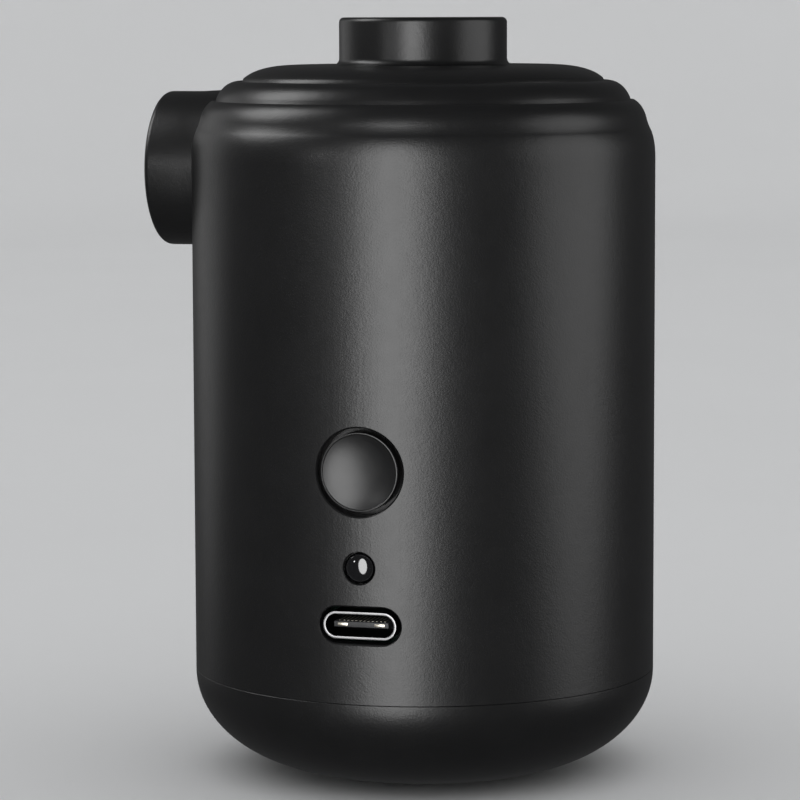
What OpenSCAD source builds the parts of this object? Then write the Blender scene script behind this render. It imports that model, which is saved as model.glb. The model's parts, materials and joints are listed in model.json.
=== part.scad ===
// Rechargeable air mattress pump.
// A centrifugal fan on a brushed motor stands in a round case with its electronics and cells.
// Air enters through the collar on top and leaves through the spigot at the side.
// Origin at the middle of the foot's underside, +Z up, controls towards -Y, outlet towards -X.

/* [Case] */
// Outside diameter of the case
case_d = 57; // [56.6:0.2:57.6]
// Wall thickness of the case
wall = 2; // [1.8:0.1:2]
// Height of the seam between the bottom cover and the case
seam_z = 12.5; // [12.3:0.1:12.5]
// Radius of the flat part of the underside
flat_r = 12.5; // [11:0.5:12.5]
// Height of the flat top face
top_z = 86.9; // [86.9:0.1:87.3]

/* [Ports] */
// Outside diameter of the intake collar
intake_d = 20.6; // [20.4:0.2:21]
// Inside diameter of the intake collar above its grille
intake_bore_d = 17.6; // [17.2:0.2:17.6]
// Height of the intake collar's rim
rim_z = 92.7; // [92:0.1:94]
// Outside diameter of the outlet spigot
outlet_d = 19.2; // [19:0.2:19.2]
// Inside diameter of the outlet spigot
outlet_bore_d = 16; // [15.6:0.2:16]
// Height of the outlet's axis
outlet_z = 74; // [74:0.1:74.2]
// Distance from the case's axis to the outlet's mouth
outlet_reach = 33.2; // [32.5:0.1:36]

/* [Controls] */
// Height of the button's axis
button_z = 40; // [39:0.5:42]
// Diameter of the button's cap
button_d = 9.4; // [9:0.1:9.6]
// Height of the indicator lamp
lamp_z = 28.7; // [28.5:0.1:29.5]
// Diameter of the indicator lamp's lens
lamp_d = 3.6; // [3:0.1:3.8]
// Height of the charging socket
socket_z = 21.9; // [21.5:0.1:22.2]

/* [Fan] */
// Outside radius of the impeller
impeller_r = 17.5; // [17:0.1:17.6]
// Number of impeller blades
blades = 9; // [7:1:11]

/* [Cells] */
// Diameter of a cell
cell_d = 16.5; // [16:0.1:16.6]
// Length of a cell
cell_len = 34.5; // [34:0.1:34.6]

/* [Hidden] */
$fn = 96;
case_r = case_d / 2;
bore_r = case_r - wall;

// Case shoulder: three soft steps, then the cover's seam.
step_low = [case_r, 76.3];
groove_low = [case_r - 0.88, 79.35];
groove_mid = [case_r - 3, 82.7];
seam_r = 22.45;
case_top_z = 85;
ledge_r = 20.5;
ledge_z = 83.5;
ledge_t = 0.9;
shoulder_in_r = 23.4;

// Foot and bottom cover.
foot_proud = 0.3;
foot_r = flat_r + 0.1;
pad_top_z = 1;
spigot_in_z = seam_z + 3;

// Outlet, fan casing and impeller.
outlet_r = outlet_d / 2;
outlet_bore_r = outlet_bore_d / 2;
outlet_in_x = 24;
outlet_step_x = 26;
outlet_step_r = 7;
outlet_wall_x = case_r + 0.05;
casing_face_x = 22.3;
casing_bore_r = 6.8;
casing_r = 25.2;
casing_z = 63.8;
floor_t = 2.2;
chamber_z = casing_z + floor_t;
casing_top_z = 81.2;
fan_cover_t = 1.2;
fan_cover_top_z = casing_top_z + fan_cover_t;
scroll_start_r = 18.7;
scroll_growth = 2.4;
scroll_sweep = 330;
tongue_at = 205;
eye_r = 8.8;
hub_z = chamber_z + 1.2;
hub_plate_t = 1.2;
blade_top_z = 78.4;
shroud_t = 1;
shroud_eye_r = 10;

// Motor, a 24.4 mm can with a 2 mm shaft.
motor_r = 12.2;
motor_len = 30.8;
gasket_t = 0.5;
motor_top_z = casing_z - gasket_t;
motor_z = motor_top_z - motor_len;
end_cap_t = 4;
boss_r = 3.1;
boss_h = 1.5;
shaft_r = 1;
shaft_top_z = 77;
motor_screw_x = 8.5;
can_t = 1;

// Circuit board and what stands on it.
board_front_y = -21.3;
board_t = 1.2;
board_w = 28;
board_z = 15.8;
board_h = 38;

// Cells, chassis and bracket.
cell_r = cell_d / 2;
tray_z = 12.2;
tray_t = 1.6;
cell_z = tray_z + tray_t + cell_r + 0.1;
cell_front_y = -7;
cell_back_y = 10;
pillar_r = 2.2;
pillar_at = 22;
pillar_turns = [0, 90, 180];
bracket_z = 58;
bracket_t = 2.5;
fan_screw_at = 16.5;
base_screw_at = 9;

// Socket shell, the standard 8.94 by 3.26 mm stadium.
shell_w = 8.94;
shell_h = 3.26;
shell_t = 0.3;
shell_front_y = -(case_r - 0.2);
tongue_w = 6.69;
tongue_t = 0.7;
tongue_front_y = shell_front_y + 0.7;

// Points of a quadratic curve from a to b, pulled towards c.
function curve(a, c, b, n = 10) =
    [for (i = [0 : n]) let (t = i / n) (1 - t) * (1 - t) * a + 2 * t * (1 - t) * c + t * t * b];

// Points of an ellipse's arc round (r, z).
function arc(r, z, a, b, from, to, n = 16) =
    [for (i = [0 : n]) let (t = from + (to - from) * i / n) [r + a * cos(t), z + b * sin(t)]];

module ring(r_out, r_in, z_low, z_high) {
    translate([0, 0, z_low]) difference() {
        cylinder(r = r_out, h = z_high - z_low);
        translate([0, 0, -1]) cylinder(r = r_in, h = z_high - z_low + 2);
    }
}

// A cylinder that runs towards the front, from y_back to y_front.
module front_rod(r, y_back, y_front, z) {
    translate([0, y_back, z]) rotate([90, 0, 0]) cylinder(r = r, h = y_back - y_front);
}

// A cylinder that runs towards the outlet, from x_in to x_out away from the axis.
module side_rod(r, x_in, x_out) {
    translate([-x_in, 0, outlet_z]) rotate([0, -90, 0]) cylinder(r = r, h = x_out - x_in);
}

// A bar with round ends that runs towards the front.
module front_stadium(w, h, y_back, y_front, z) {
    translate([0, y_back, z]) rotate([90, 0, 0]) linear_extrude(y_back - y_front) {
        square([w - h, h], center = true);
        for (side = [-1, 1]) translate([side * (w - h) / 2, 0]) circle(d = h);
    }
}

// Copies at equal angles round the axis.
module around(count, at, start = 0) {
    for (i = [0 : count - 1]) rotate(start + 360 * i / count) translate([at, 0, 0]) children();
}

module at_pillars() {
    for (turn = pillar_turns) rotate(turn) translate([pillar_at, 0, 0]) children();
}

// A pan-head screw with a cross recess, head down at z, shank upwards.
module screw_up(head_r, head_h, shank_r, shank_len) {
    difference() {
        union() {
            cylinder(r = head_r, h = head_h);
            cylinder(r = shank_r, h = head_h + shank_len);
        }
        for (turn = [0, 90]) rotate(turn) cube([head_r * 1.1, head_r * 0.28, head_h], center = true);
    }
}

module screw_down(head_r, head_h, shank_r, shank_len) {
    mirror([0, 0, 1]) screw_up(head_r, head_h, shank_r, shank_len);
}

// ---------------------------------------------------------------- case

module main_housing() {
    outline = concat(
        [[bore_r, seam_z], [case_r - 0.25, seam_z], [case_r, seam_z + 0.25]],
        curve(step_low, [case_r, 78.2], groove_low + [0.2, -0.15]),
        [groove_low],
        curve(groove_low + [-0.02, 0.2], [case_r - 1.05, 81.7], groove_mid + [0.2, -0.08]),
        [groove_mid + [-0.05, 0]],
        curve(groove_mid + [-0.1, 0.2], [case_r - 3.95, 84.75], [seam_r + 0.3, case_top_z]),
        [[seam_r, case_top_z - 0.2], [seam_r, ledge_z], [ledge_r, ledge_z],
            [ledge_r, ledge_z - ledge_t]],
        curve([shoulder_in_r, ledge_z - ledge_t], [bore_r, 80.5], [bore_r, 76]),
        [[bore_r, seam_z + 2.85], [bore_r + 0.3, seam_z + 2.7], [bore_r + 0.3, seam_z + 2.5],
            [bore_r, seam_z + 2.35]]);
    color([0.09, 0.09, 0.095]) difference() {
        union() {
            rotate_extrude() polygon(outline);
            translate([0, 0, outlet_z]) rotate([0, -90, 0]) rotate_extrude() polygon(concat(
                [[0, outlet_in_x], [outlet_r + 0.25, outlet_in_x], [outlet_r, outlet_wall_x]],
                arc(outlet_r - 0.6, outlet_reach - 0.6, 0.6, 0.6, 0, 90, 6),
                [[0, outlet_reach]]));
            intersection() {
                front_rod(7.4, -25.6, -case_r + 0.6, button_z);
                cylinder(r = case_r - 0.5, h = 60);
            }
            intersection() {
                translate([-7, -case_r, socket_z - 3.6]) cube([14, case_r - 26, 7.2]);
                cylinder(r = case_r - 0.5, h = 60);
            }
        }
        side_rod(outlet_step_r, outlet_in_x - 1, outlet_step_x + 1);
        side_rod(outlet_bore_r, outlet_step_x, outlet_reach + 1);
        front_rod(button_d / 2 + 0.35, -20, -30, button_z);
        translate([0, -27.3, button_z]) rotate([90, 0, 0])
            cylinder(r1 = button_d / 2 + 0.35, r2 = button_d / 2 + 0.95, h = 1.6);
        front_rod(lamp_d / 2 + 0.12, -20, -30, lamp_z);
        front_stadium(shell_w + 0.9, shell_h + 1.1, -20, -30, socket_z);
    }
}

module bottom_cover() {
    outline = concat(
        [[0, foot_proud], [flat_r, foot_proud]],
        arc(flat_r, seam_z - 0.25, case_r - flat_r, seam_z - 0.25 - foot_proud, -90, 0, 24),
        [[case_r - 0.25, seam_z], [bore_r - 0.1, seam_z], [bore_r - 0.1, seam_z + 1.1],
            [bore_r - 0.9, seam_z + 1.1], [bore_r - 0.9, seam_z + 2.1],
            [bore_r - 0.1, seam_z + 2.1], [bore_r - 0.1, seam_z + 2.4],
            [bore_r + 0.2, seam_z + 2.55], [bore_r + 0.2, seam_z + 2.65],
            [bore_r - 0.1, seam_z + 2.8], [bore_r - 0.1, spigot_in_z],
            [bore_r - 1.7, spigot_in_z], [bore_r - 1.7, seam_z - 1]],
        arc(flat_r - 1, seam_z - 1, bore_r - 0.7 - flat_r, 9, 0, -90, 16),
        [[0, seam_z - 10]]);
    color([0.09, 0.09, 0.095]) difference() {
        union() {
            rotate_extrude() polygon(outline);
            around(3, base_screw_at, 90) translate([0, 0, 2]) cylinder(r = 3.4, h = 6);
        }
        translate([0, 0, -1]) cylinder(r = foot_r + 0.1, h = pad_top_z + 1);
        around(3, base_screw_at, 90) {
            cylinder(r = 2.6, h = 6);
            cylinder(r = 1.5, h = 20);
        }
    }
}

module foot_pad() {
    color([0.05, 0.05, 0.05]) difference() {
        rotate_extrude() polygon([[0, 0], [foot_r - 0.3, 0], [foot_r, 0.3], [foot_r, pad_top_z],
            [0, pad_top_z]]);
        for (r = [4, 7.5, 11]) ring(r + 0.3, r - 0.3, -1, 0.25);
    }
}

module base_seal() {
    color([0.12, 0.12, 0.12]) ring(bore_r, bore_r - 0.9, seam_z + 1.1, seam_z + 2.1);
}

module base_screws() {
    color([0.7, 0.7, 0.72]) around(3, base_screw_at, 90) translate([0, 0, 4.2])
        screw_up(2.3, 1.8, 1.25, 6.4);
}

module top_cover() {
    collar_r = intake_d / 2;
    skin = 1.7;
    outline = concat(
        [[intake_bore_d / 2, 86.5], [intake_bore_d / 2, rim_z - 0.4],
            [intake_bore_d / 2 + 0.4, rim_z]],
        arc(collar_r - 0.6, rim_z - 0.6, 0.6, 0.6, 90, 0, 6),
        arc(collar_r + 0.8, top_z + 0.8, 0.8, 0.8, 180, 270, 6),
        curve([16.5, top_z], [20.4, top_z - 0.15], [seam_r - 0.12, case_top_z + 0.1]),
        [[seam_r - 0.12, ledge_z + 0.4], [ledge_r - 0.1, ledge_z + 0.4],
            [ledge_r - 0.1, ledge_z - 0.6], [ledge_r - 1.5, ledge_z - 0.6],
            [ledge_r - 1.5, top_z - skin - 0.3], [collar_r + 1.2, top_z - skin],
            [collar_r + 1.2, fan_cover_top_z + 0.6], [8.2, fan_cover_top_z + 0.6], [8.2, 86.5]]);
    color([0.09, 0.09, 0.095]) rotate_extrude() polygon(outline);
}

module top_seal() {
    color([0.12, 0.12, 0.12]) ring(seam_r - 0.15, ledge_r + 0.1, ledge_z, ledge_z + 0.4);
}

module intake_grille() {
    z_low = 85.3;
    z_high = 86.5;
    bar_w = 0.9;
    color([0.07, 0.07, 0.075]) union() {
        ring(8.2, 7.3, z_low, z_high);
        for (r = [2.3, 4.9]) ring(r + bar_w / 2, r - bar_w / 2, z_low, z_high);
        for (turn = [0 : 60 : 300]) rotate(turn) translate([2, -bar_w / 2, z_low])
            cube([5.8, bar_w, z_high - z_low]);
    }
}

module intake_seal() {
    color([0.12, 0.12, 0.12]) ring(11.5, 9.2, fan_cover_top_z, fan_cover_top_z + 0.6);
}

module outlet_seal() {
    color([0.12, 0.12, 0.12]) difference() {
        side_rod(7.9, casing_face_x, outlet_in_x);
        side_rod(casing_bore_r, casing_face_x - 1, outlet_in_x + 1);
    }
}

// ---------------------------------------------------------------- controls

module power_button() {
    cap_r = button_d / 2;
    rim_y = case_r - 0.15;
    dish = concat([[0, rim_y - 0.75]], curve([0.5, rim_y - 0.745], [2.8, rim_y - 0.7],
        [cap_r - 0.45, rim_y - 0.1], 8), [[cap_r - 0.25, rim_y], [cap_r, rim_y - 0.25]]);
    color([0.1, 0.1, 0.105]) translate([0, 0, button_z]) rotate([90, 0, 0]) {
        rotate_extrude() polygon(concat(dish,
            [[cap_r, 25.5], [6.2, 25.5], [6.2, 24.7], [1.5, 24.7], [1.5, 24.2], [0, 24.2]]));
    }
}

module indicator_lens() {
    r = lamp_d / 2;
    color([0.02, 0.02, 0.025]) translate([0, 0, lamp_z]) rotate([90, 0, 0])
        rotate_extrude() polygon(concat(
            [[0, 22.6], [1.2, 22.6], [1.2, 25.5], [2.6, 25.5], [2.6, bore_r - 0.25],
                [r, bore_r - 0.25]],
            arc(0, case_r - 0.6, r, 0.8, 0, 90, 10)));
}

// ---------------------------------------------------------------- fan

function scroll() = [for (a = [0 : 10 : scroll_sweep])
    let (r = scroll_start_r + scroll_growth * a / scroll_sweep)
    [r * cos(tongue_at + a), r * sin(tongue_at + a)]];

fan_cover_screw_turns = [25, 110, 215, 300];
fan_cover_screw_at = 21.8;

module fan_housing() {
    color([0.75, 0.75, 0.76]) difference() {
        union() {
            translate([0, 0, casing_z]) cylinder(r = casing_r, h = 79 - casing_z);
            translate([0, 0, 79]) cylinder(r1 = casing_r, r2 = 23.6, h = casing_top_z - 79);
        }
        translate([0, 0, chamber_z]) linear_extrude(20) polygon(scroll());
        side_rod(casing_bore_r, 12, 40);
        translate([-casing_face_x - 10, -20, casing_z - 1]) cube([10, 40, 30]);
        translate([0, 0, casing_z - 1]) cylinder(r = boss_r + 0.1, h = 5);
        for (side = [-1, 1]) translate([side * motor_screw_x, 0, 0]) {
            translate([0, 0, casing_z - 1]) cylinder(r = 1.3, h = 5);
            translate([0, 0, casing_z + 1]) cylinder(r = 2.3, h = 5);
        }
        around(3, fan_screw_at, 90) {
            translate([0, 0, casing_z - 1]) cylinder(r = 1.1, h = 5);
            translate([0, 0, casing_z + 1]) cylinder(r = 2.1, h = 5);
        }
        for (turn = fan_cover_screw_turns) rotate(turn)
            translate([fan_cover_screw_at, 0, casing_top_z - 6]) cylinder(r = 0.8, h = 8);
    }
}

module fan_cover() {
    color([0.75, 0.75, 0.76]) difference() {
        union() {
            ring(23.2, eye_r, casing_top_z, fan_cover_top_z);
            ring(9.6, eye_r, 79.9, casing_top_z + 0.5);
        }
        translate([-casing_face_x - 10, -20, casing_top_z - 1]) cube([10, 40, 4]);
        for (turn = fan_cover_screw_turns) rotate(turn) translate([fan_cover_screw_at, 0, 0]) {
            translate([0, 0, casing_top_z - 1]) cylinder(r = 0.8, h = 4);
            translate([0, 0, fan_cover_top_z - 0.8]) cylinder(r = 1.35, h = 4);
        }
    }
}

module fan_cover_screws() {
    color([0.7, 0.7, 0.72]) for (turn = fan_cover_screw_turns) rotate(turn)
        translate([fan_cover_screw_at, 0, fan_cover_top_z]) screw_down(1.35, 0.8, 0.8, 5);
}

module fan_mount_screws() {
    color([0.7, 0.7, 0.72]) around(3, fan_screw_at, 90) translate([0, 0, chamber_z])
        screw_down(2.1, 1.2, 1.1, 5);
}

// One backward-curved blade: the space between two arcs that share their ends.
module blade_outline() {
    inner = 6.2;
    outer = impeller_r - 0.2;
    sweep = 55;
    steps = 10;
    half_t = 0.4;
    function point(i, side) = let (
        t = i / steps,
        r = inner + (outer - inner) * t,
        turn = -sweep * t * t * 0.5 - sweep * t * 0.5 + side * half_t / r * 57.3)
        [r * cos(turn), r * sin(turn)];
    polygon(concat([for (i = [0 : steps]) point(i, 1)], [for (i = [steps : -1 : 0]) point(i, -1)]));
}

module impeller() {
    color([0.86, 0.86, 0.84]) {
        difference() {
            union() {
                translate([0, 0, hub_z]) cylinder(r = impeller_r, h = hub_plate_t);
                rotate_extrude() polygon(concat([[0, hub_z], [6.4, hub_z]],
                    curve([6.4, hub_z + hub_plate_t], [4, hub_z + 3], [3.6, 75.6], 6),
                    [[0, 75.6]]));
                for (i = [0 : blades - 1]) rotate(360 * i / blades) translate([0, 0, hub_z + 0.5])
                    linear_extrude(blade_top_z + 0.3 - hub_z - 0.5) blade_outline();
                ring(impeller_r, shroud_eye_r, blade_top_z, blade_top_z + shroud_t);
            }
            translate([0, 0, hub_z - 1]) cylinder(r = 2.2, h = 20);
        }
    }
}

module impeller_bush() {
    color([0.8, 0.65, 0.3]) ring(2.2, shaft_r, hub_z, 75.6);
}

// ---------------------------------------------------------------- motor

module motor_can() {
    color([0.62, 0.63, 0.65]) difference() {
        union() {
            rotate_extrude() polygon([[0, motor_z + end_cap_t], [motor_r, motor_z + end_cap_t],
                [motor_r, motor_top_z - 0.8], [motor_r - 0.8, motor_top_z], [0, motor_top_z]]);
            translate([0, 0, motor_top_z]) cylinder(r = boss_r, h = boss_h);
        }
        translate([0, 0, motor_z]) cylinder(r = motor_r - can_t, h = motor_len - can_t);
        translate([0, 0, motor_top_z - 2]) cylinder(r = 2, h = 5);
        for (side = [-1, 1]) translate([side * motor_screw_x, 0, motor_top_z - 2])
            cylinder(r = 1.25, h = 3);
    }
}

module motor_end_cap() {
    color([0.9, 0.9, 0.88]) difference() {
        union() {
            translate([0, 0, motor_z]) cylinder(r = motor_r, h = end_cap_t);
            translate([0, 0, motor_z + end_cap_t - 0.1]) cylinder(r = motor_r - can_t, h = 1.5);
        }
        translate([0, 0, motor_z + 1.2]) cylinder(r = motor_r - 2.4, h = 6);
        translate([0, 0, motor_z - 1]) cylinder(r = 2, h = 6);
        for (side = [-1, 1]) translate([side * 6.5 - 0.3, 0.3, motor_z - 1]) cube([0.6, 2.4, 4]);
    }
}

module motor_front_bush() {
    color([0.7, 0.55, 0.3]) ring(2, shaft_r + 0.02, motor_top_z - can_t, motor_top_z + boss_h);
}

module motor_rear_bush() {
    color([0.7, 0.55, 0.3]) ring(2, shaft_r + 0.02, motor_z, motor_z + 2.4);
}

module motor_shaft() {
    color([0.8, 0.8, 0.82]) translate([0, 0, motor_z + 0.2])
        cylinder(r = shaft_r, h = shaft_top_z - motor_z - 0.2);
}

armature_z = motor_z + 10;
armature_h = 14;

module motor_armature() {
    color([0.4, 0.4, 0.42]) translate([0, 0, armature_z]) linear_extrude(armature_h) difference() {
        union() {
            circle(r = 3);
            for (turn = [0, 120, 240]) rotate(turn) {
                translate([0, -1.1]) square([7.4, 2.2]);
                intersection() {
                    difference() {
                        circle(r = 8.3);
                        circle(r = 6.9);
                    }
                    polygon([[0, 0], [20, 20 * tan(-47)], [20, 20 * tan(47)]]);
                }
            }
        }
        circle(r = shaft_r);
    }
}

module motor_windings() {
    color([0.72, 0.38, 0.2]) for (turn = [0, 120, 240]) rotate(turn) for (side = [-1, 1])
        translate([3.3, side * 2.3 - 1.1, armature_z - 1]) cube([2.6, 2.2, armature_h + 2]);
}

module motor_commutator() {
    color([0.75, 0.45, 0.25]) difference() {
        ring(2.6, shaft_r, motor_z + 3.2, armature_z - 1.4);
        for (turn = [0, 120, 240]) rotate(turn) translate([2, -0.2, motor_z])
            cube([2, 0.4, armature_z - motor_z]);
    }
}

module motor_magnets() {
    color([0.25, 0.25, 0.27]) for (turn = [0, 180]) rotate(turn) intersection() {
        ring(motor_r - can_t - 0.05, 8.7, armature_z - 2, armature_z + armature_h + 2);
        translate([0, -7.6, motor_z]) cube([20, 15.2, motor_len]);
    }
}

module motor_brushes() {
    color([0.3, 0.3, 0.3]) for (side = [-1, 1]) {
        translate([side * 4.2 - 1.5, -0.9, motor_z + 4.4]) cube([3, 1.8, 1.8]);
        translate([side * 5.95 - 0.35, 0.3, motor_z + 2.8]) cube([0.7, 0.4, 3.4]);
    }
}

module motor_terminals() {
    color([0.85, 0.8, 0.6]) for (side = [-1, 1]) translate([side * 6.5 - 0.3, 0.3, motor_z - 2.2])
        cube([0.6, 2.4, 5]);
}

module motor_gasket() {
    color([0.15, 0.15, 0.15]) difference() {
        ring(motor_r - 0.4, boss_r + 0.4, motor_top_z, casing_z);
        for (side = [-1, 1]) translate([side * motor_screw_x, 0, motor_top_z - 1])
            cylinder(r = 1.6, h = 3);
    }
}

module motor_screws() {
    color([0.7, 0.7, 0.72]) for (side = [-1, 1]) translate([side * motor_screw_x, 0, chamber_z])
        screw_down(2.3, 1.2, 1.25, 3);
}

// ---------------------------------------------------------------- frame and cells

module motor_bracket() {
    color([0.16, 0.16, 0.17]) difference() {
        union() {
            ring(pillar_at + 2.6, motor_r + 0.4, bracket_z, bracket_z + bracket_t);
            around(3, fan_screw_at, 90) translate([0, 0, bracket_z])
                cylinder(r = 2.6, h = casing_z - bracket_z);
        }
        translate([0, 0, bracket_z - 1]) cylinder(r = motor_r + 0.4, h = 10);
        around(3, fan_screw_at, 90) translate([0, 0, casing_z - 4]) cylinder(r = 1.1, h = 6);
        at_pillars() translate([0, 0, bracket_z - 1]) cylinder(r = 1.2, h = 6);
        translate([-20, -30, bracket_z - 1]) cube([40, 12.2, 8]);
    }
}

module bracket_screws() {
    color([0.7, 0.7, 0.72]) at_pillars() translate([0, 0, bracket_z + bracket_t + 1.3])
        screw_down(2, 1.3, 1.1, 7);
}

module chassis() {
    color([0.16, 0.16, 0.17]) difference() {
        union() {
            intersection() {
                union() {
                    translate([0, 0, tray_z]) cylinder(r = bore_r - 1.9, h = tray_t);
                    translate([0, 0, spigot_in_z]) cylinder(r = bore_r - 0.2, h = 0.8);
                    translate([0, 0, tray_z]) cylinder(r = bore_r - 2, h = spigot_in_z - tray_z + 0.5);
                }
                difference() {
                    translate([-30, -30, 0]) cube([60, 60, 60]);
                    translate([0, 0, tray_z + tray_t]) cylinder(r = bore_r - 3.3, h = 20);
                }
            }
            around(3, base_screw_at, 90) translate([0, 0, 8.1]) cylinder(r = 3.2, h = tray_z - 7.6);
            at_pillars() translate([0, 0, tray_z]) cylinder(r = pillar_r, h = bracket_z - tray_z);
            for (x = [-12.5, 11]) translate([x, cell_front_y - 6, tray_z + 0.5])
                cube([1.5, cell_back_y - cell_front_y + 12, 5]);
            intersection() {
                for (side = [-1, 1]) translate([side * 14.7 - 1.5, -24, tray_z + 1])
                    cube([3, 5.6, board_z + board_h - tray_z + 1]);
                union() {
                    translate([0, 0, tray_z]) cylinder(r = bore_r - 1.9, h = 60);
                    translate([0, 0, spigot_in_z]) cylinder(r = bore_r - 0.3, h = 60);
                }
            }
        }
        for (y = [cell_front_y, cell_back_y]) translate([-20, y, cell_z]) rotate([0, 90, 0])
            cylinder(r = cell_r + 0.1, h = 40);
        around(3, base_screw_at, 90) translate([0, 0, 7]) cylinder(r = 1.25, h = 10);
        at_pillars() translate([0, 0, bracket_z - 7]) cylinder(r = 1.1, h = 10);
        translate([-board_w / 2 - 0.1, board_front_y - 0.05, board_z - 0.05])
            cube([board_w + 0.2, board_t + 0.1, board_h + 6]);
        translate([-10, -30, spigot_in_z - 1]) cube([20, 12, 6]);
    }
}

module cell(y) {
    translate([-cell_len / 2, y, cell_z]) rotate([0, 90, 0]) {
        rotate_extrude() polygon([[0, 0], [cell_r - 0.5, 0], [cell_r, 0.5],
            [cell_r, cell_len - 2.2], [cell_r - 0.6, cell_len - 1.7], [cell_r, cell_len - 1.2],
            [cell_r - 0.5, cell_len - 0.8], [2.6, cell_len - 0.8], [2.6, cell_len], [0, cell_len]]);
    }
}

module front_cell() {
    color([0.2, 0.45, 0.7]) cell(cell_front_y);
}

module rear_cell() {
    color([0.2, 0.45, 0.7]) cell(cell_back_y);
}

module cell_tabs() {
    color([0.78, 0.78, 0.74]) for (x = [-cell_len / 2 - 0.15, cell_len / 2])
        translate([x, cell_front_y - 2.5, cell_z - 2.2])
            cube([0.15, cell_back_y - cell_front_y + 5, 4.4]);
}

// ---------------------------------------------------------------- electronics

module main_board() {
    color([0.05, 0.3, 0.18]) translate([-board_w / 2, board_front_y, board_z])
        cube([board_w, board_t, board_h]);
}

module board_parts() {
    back = board_front_y + board_t;
    color([0.12, 0.12, 0.13]) {
        translate([-3, back, 47]) cube([6, 2.2, 4.4]);
        translate([0.5, back, 39.6]) cube([6.2, 2.8, 6.2]);
        translate([-7.5, back, 34]) cube([5, 1.5, 6]);
        translate([2, back, 33]) cube([4, 1.1, 4]);
        translate([-2.5, back, 24.5]) cube([5, 1, 4]);
        for (x = [-8, -5, 4, 7]) translate([x, back, 20]) cube([1.6, 0.9, 0.9]);
        for (x = [-7, -4.5]) translate([x, back, 43]) cube([1.6, 0.9, 0.9]);
    }
}

module status_led() {
    color([0.95, 0.95, 0.8]) translate([-1.6, board_front_y - 0.9, lamp_z - 0.8]) cube([3.2, 0.9, 1.6]);
}

module switch_body() {
    color([0.1, 0.1, 0.1]) difference() {
        translate([-3, board_front_y - 2.1, button_z - 3]) cube([6, 2.1, 6]);
        front_rod(1.6, board_front_y - 0.5, board_front_y - 3, button_z);
    }
}

module switch_plunger() {
    color([0.85, 0.85, 0.8]) front_rod(1.5, board_front_y - 1.15, -24.2, button_z);
}

module socket_shell() {
    color([0.8, 0.8, 0.82]) difference() {
        front_stadium(shell_w, shell_h, board_front_y, shell_front_y, socket_z);
        front_stadium(shell_w - 2 * shell_t, shell_h - 2 * shell_t, board_front_y - 0.6,
            shell_front_y - 1, socket_z);
    }
}

module socket_tongue() {
    color([0.06, 0.06, 0.06]) translate([0, 0, socket_z]) {
        translate([-tongue_w / 2, tongue_front_y, -tongue_t / 2])
            cube([tongue_w, board_front_y - 0.6 - tongue_front_y, tongue_t]);
        translate([-shell_w / 2 + 1.7, board_front_y - 2.2, -shell_h / 2 + shell_t])
            cube([shell_w - 3.4, 1.6, shell_h - 2 * shell_t]);
    }
}

// Twelve strips on each face of the tongue, and two plates on its front.
module socket_contacts() {
    contact = [0.24, 3, 0.06];
    plate = [1.24, 0.06, 0.3];
    color([0.85, 0.7, 0.35]) {
        for (i = [0 : 11], face = [-1, 1])
            translate([i * 0.5 - 2.75, tongue_front_y + 2, socket_z + face * (tongue_t / 2 + 0.03)])
                cube(contact, center = true);
        for (side = [-1, 1])
            translate([side * 2.25, tongue_front_y - 0.03, socket_z]) cube(plate, center = true);
    }
}

// ---------------------------------------------------------------- leads

// A point t of the way along the spline's piece i, which passes through every route point.
function spline(p, i, t) = let (
    n = len(p) - 1,
    a = p[max(i - 1, 0)], b = p[i], c = p[i + 1], d = p[min(i + 2, n)])
    0.5 * (2 * b + (c - a) * t + (2 * a - 5 * b + 4 * c - d) * t * t
        + (3 * b - a - 3 * c + d) * t * t * t);
function smooth(p, n) = concat([for (i = [0 : len(p) - 2], k = [0 : n - 1]) spline(p, i, k / n)],
    [p[len(p) - 1]]);
function unit(v) = v / norm(v);

// A round tube along a route.
module tube(route, d, sides = 8) {
    p = smooth(route, 4);
    n = len(p);
    rings = [for (i = [0 : n - 1]) let (
        t = unit(p[min(i + 1, n - 1)] - p[max(i - 1, 0)]),
        u = unit(cross(t, [0.3, 0.9, 0.1])),
        v = cross(t, u))
        [for (k = [0 : sides - 1]) let (a = 360 * k / sides) p[i] + d / 2 * (cos(a) * u + sin(a) * v)]];
    points = [for (r = rings, q = r) q];
    walls = [for (i = [0 : n - 2], k = [0 : sides - 1]) let (m = (k + 1) % sides)
        [i * sides + k, (i + 1) * sides + k, (i + 1) * sides + m, i * sides + m]];
    tris = [for (w = walls, half = [[0, 1, 2], [0, 2, 3]]) [w[half[0]], w[half[1]], w[half[2]]]];
    polyhedron(points, concat(tris,
        [[for (k = [0 : sides - 1]) k]],
        [[for (k = [sides - 1 : -1 : 0]) (n - 1) * sides + k]]));
}

lead_d = 1.3;
board_joint_y = board_front_y + board_t + 0.2;
cell_end_x = cell_len / 2 + 0.21;
motor_route = [[6.5, -0.4, 31.3], [7.2, -6, 31.4], [8.5, -12, 32.2], [9.5, -16, 36],
    [10.5, -17.6, 41], [11.3, -17.6, 47], [11.5, -18.6, 50], [11.5, board_joint_y, 50]];
battery_route = [[cell_end_x, -7, cell_z], [cell_end_x + 0.6, -7, cell_z],
    [cell_end_x + 1.2, -7.3, cell_z + 0.4], [19.3, -9.5, 25.5], [18.2, -13.5, 30.5],
    [14.3, -16.4, 33.6], [11.9, -17.2, 36.4], [11.5, -18.6, 39], [11.5, board_joint_y, 39]];

module motor_lead_red() {
    color([0.75, 0.1, 0.08]) tube(motor_route, lead_d);
}

module motor_lead_black() {
    color([0.08, 0.08, 0.08]) tube([for (p = motor_route) [-p[0], p[1], p[2]]], lead_d);
}

module battery_lead_red() {
    color([0.75, 0.1, 0.08]) tube(battery_route, lead_d);
}

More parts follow.
